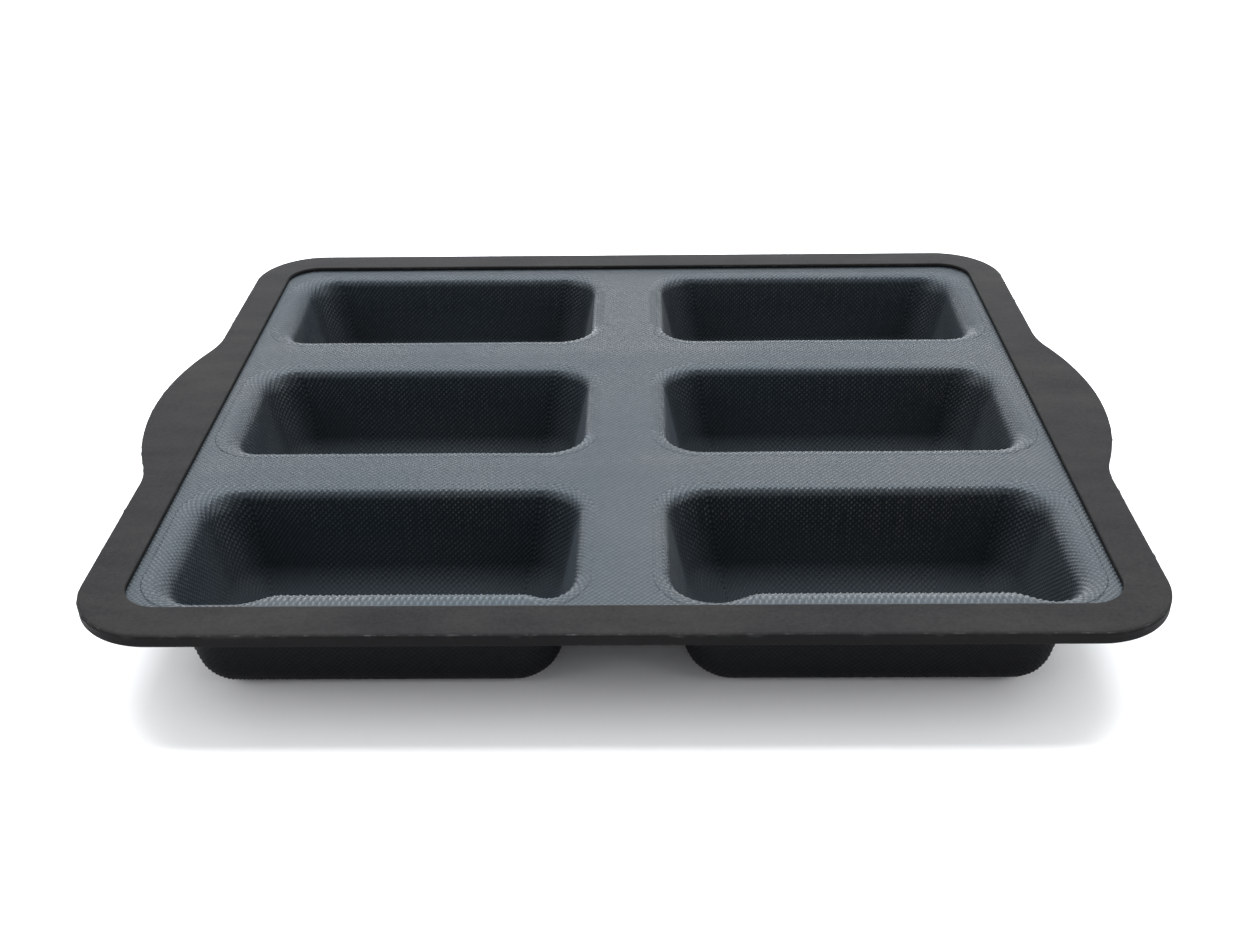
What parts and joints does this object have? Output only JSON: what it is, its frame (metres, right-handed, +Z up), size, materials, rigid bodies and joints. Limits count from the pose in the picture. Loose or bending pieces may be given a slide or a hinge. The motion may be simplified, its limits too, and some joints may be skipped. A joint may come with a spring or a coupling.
{
  "type": "baguette tray",
  "caption": "Rectangular baguette baking tray of black coated mesh cloth with deep rounded pockets and a wired silicone rim with ear grips.",
  "frame": {"origin": "middle of the plane that the pocket undersides stand on", "axes": "+X along the tray towards the right-hand ear, +Y across it to the back, +Z up out of the pockets"},
  "size_m": [0.374, 0.305, 0.042],
  "materials": {
    "silicone": "matte black moulded silicone, faintly dusty",
    "coated_cloth": "silicone-coated glass-fibre mesh, satin on the tops of the yarns",
    "steel": "drawn stainless wire"
  },
  "bodies": {
    "root": {"silicone_rim": "silicone", "steel_frame": "steel", "cloth_web": "coated_cloth", "pocket_front_left": "coated_cloth", "pocket_front_right": "coated_cloth", "pocket_middle_left": "coated_cloth", "pocket_middle_right": "coated_cloth", "pocket_back_left": "coated_cloth", "pocket_back_right": "coated_cloth"}
  },
  "joints": []
}
